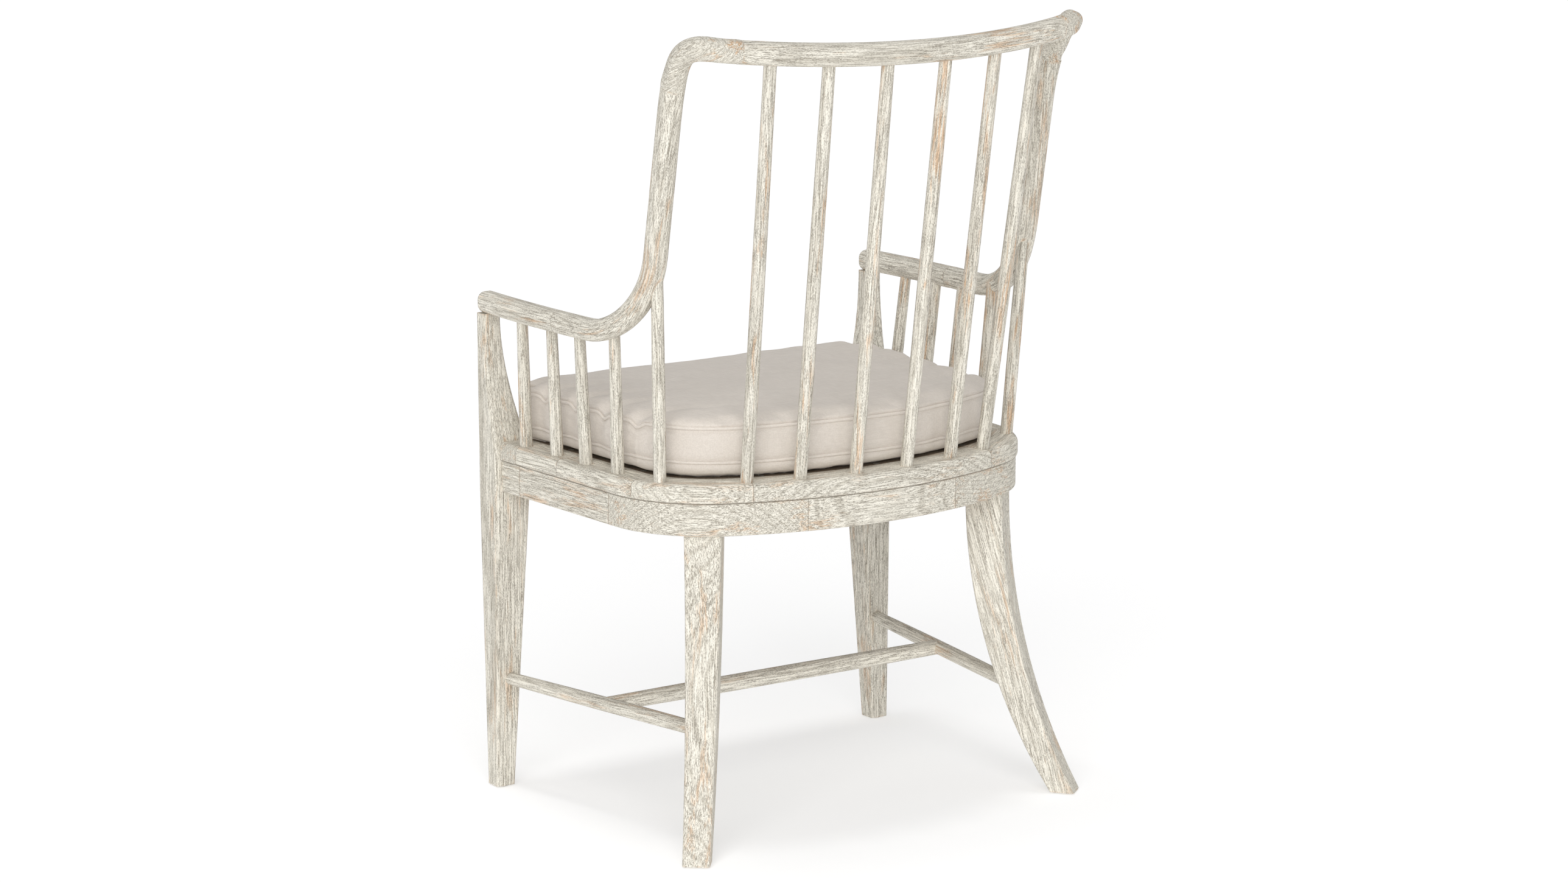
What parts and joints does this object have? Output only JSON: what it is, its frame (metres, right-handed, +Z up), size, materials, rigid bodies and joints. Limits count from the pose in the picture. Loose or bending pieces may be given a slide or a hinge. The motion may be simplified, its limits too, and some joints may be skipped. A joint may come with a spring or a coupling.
{
  "type": "spindle-back armchair",
  "caption": "Wooden armchair with a bowed crest rail, a round spindle back and arms, sabre rear legs and a loose seat cushion.",
  "frame": {"origin": "on the floor, under the middle of the chair's box", "axes": "+Z up, the sitter faces -Y, +X is the sitter's left"},
  "size_m": [0.6308, 0.5349, 1.0065],
  "materials": {
    "whitewashed_wood": "whitewashed and wire brushed open grain, matt",
    "linen": "plain woven linen",
    "plywood": "raw",
    "beech_block": "raw",
    "steel": "zinc plated",
    "nylon": "moulded"
  },
  "bodies": {
    "chair": {"apron_back": "whitewashed_wood", "apron_block_left": "whitewashed_wood", "apron_block_right": "whitewashed_wood", "apron_corner_left": "whitewashed_wood", "apron_corner_right": "whitewashed_wood", "apron_front": "whitewashed_wood", "apron_side_left": "whitewashed_wood", "apron_side_right": "whitewashed_wood", "arm_rail_left": "whitewashed_wood", "arm_rail_right": "whitewashed_wood", "arm_spindle_left_1": "whitewashed_wood", "arm_spindle_left_2": "whitewashed_wood", "arm_spindle_left_3": "whitewashed_wood", "arm_spindle_left_4": "whitewashed_wood", "arm_spindle_right_1": "whitewashed_wood", "arm_spindle_right_2": "whitewashed_wood", "arm_spindle_right_3": "whitewashed_wood", "arm_spindle_right_4": "whitewashed_wood", "back_post_left": "whitewashed_wood", "back_post_right": "whitewashed_wood", "back_spindle_left_1": "whitewashed_wood", "back_spindle_left_2": "whitewashed_wood", "back_spindle_left_3": "whitewashed_wood", "back_spindle_right_1": "whitewashed_wood", "back_spindle_right_2": "whitewashed_wood", "back_spindle_right_3": "whitewashed_wood", "block_screws": "steel", "corner_block_front_left": "beech_block", "corner_block_front_right": "beech_block", "corner_block_rear_left": "beech_block", "corner_block_rear_right": "beech_block", "corner_spindle_left": "whitewashed_wood", "corner_spindle_right": "whitewashed_wood", "crest_corner_left": "whitewashed_wood", "crest_corner_right": "whitewashed_wood", "crest_rail": "whitewashed_wood", "cross_stretcher": "whitewashed_wood", "front_leg_left": "whitewashed_wood", "front_leg_right": "whitewashed_wood", "glides": "nylon", "panel_screws": "steel", "rear_leg_left": "whitewashed_wood", "rear_leg_right": "whitewashed_wood", "ring_back": "whitewashed_wood", "ring_corner_left": "whitewashed_wood", "ring_corner_right": "whitewashed_wood", "ring_front": "whitewashed_wood", "ring_side_front_left": "whitewashed_wood", "ring_side_front_right": "whitewashed_wood", "ring_side_rear_left": "whitewashed_wood", "ring_side_rear_right": "whitewashed_wood", "seat_panel": "plywood", "side_stretcher_left": "whitewashed_wood", "side_stretcher_right": "whitewashed_wood"},
    "cushion": {"seat_cushion": "linen"}
  },
  "joints": [
    {"name": "cushion_lift", "type": "slide", "parent": "chair", "child": "cushion", "axis": [0, 0, 1], "range_m": [0, 0.3]}
  ]
}
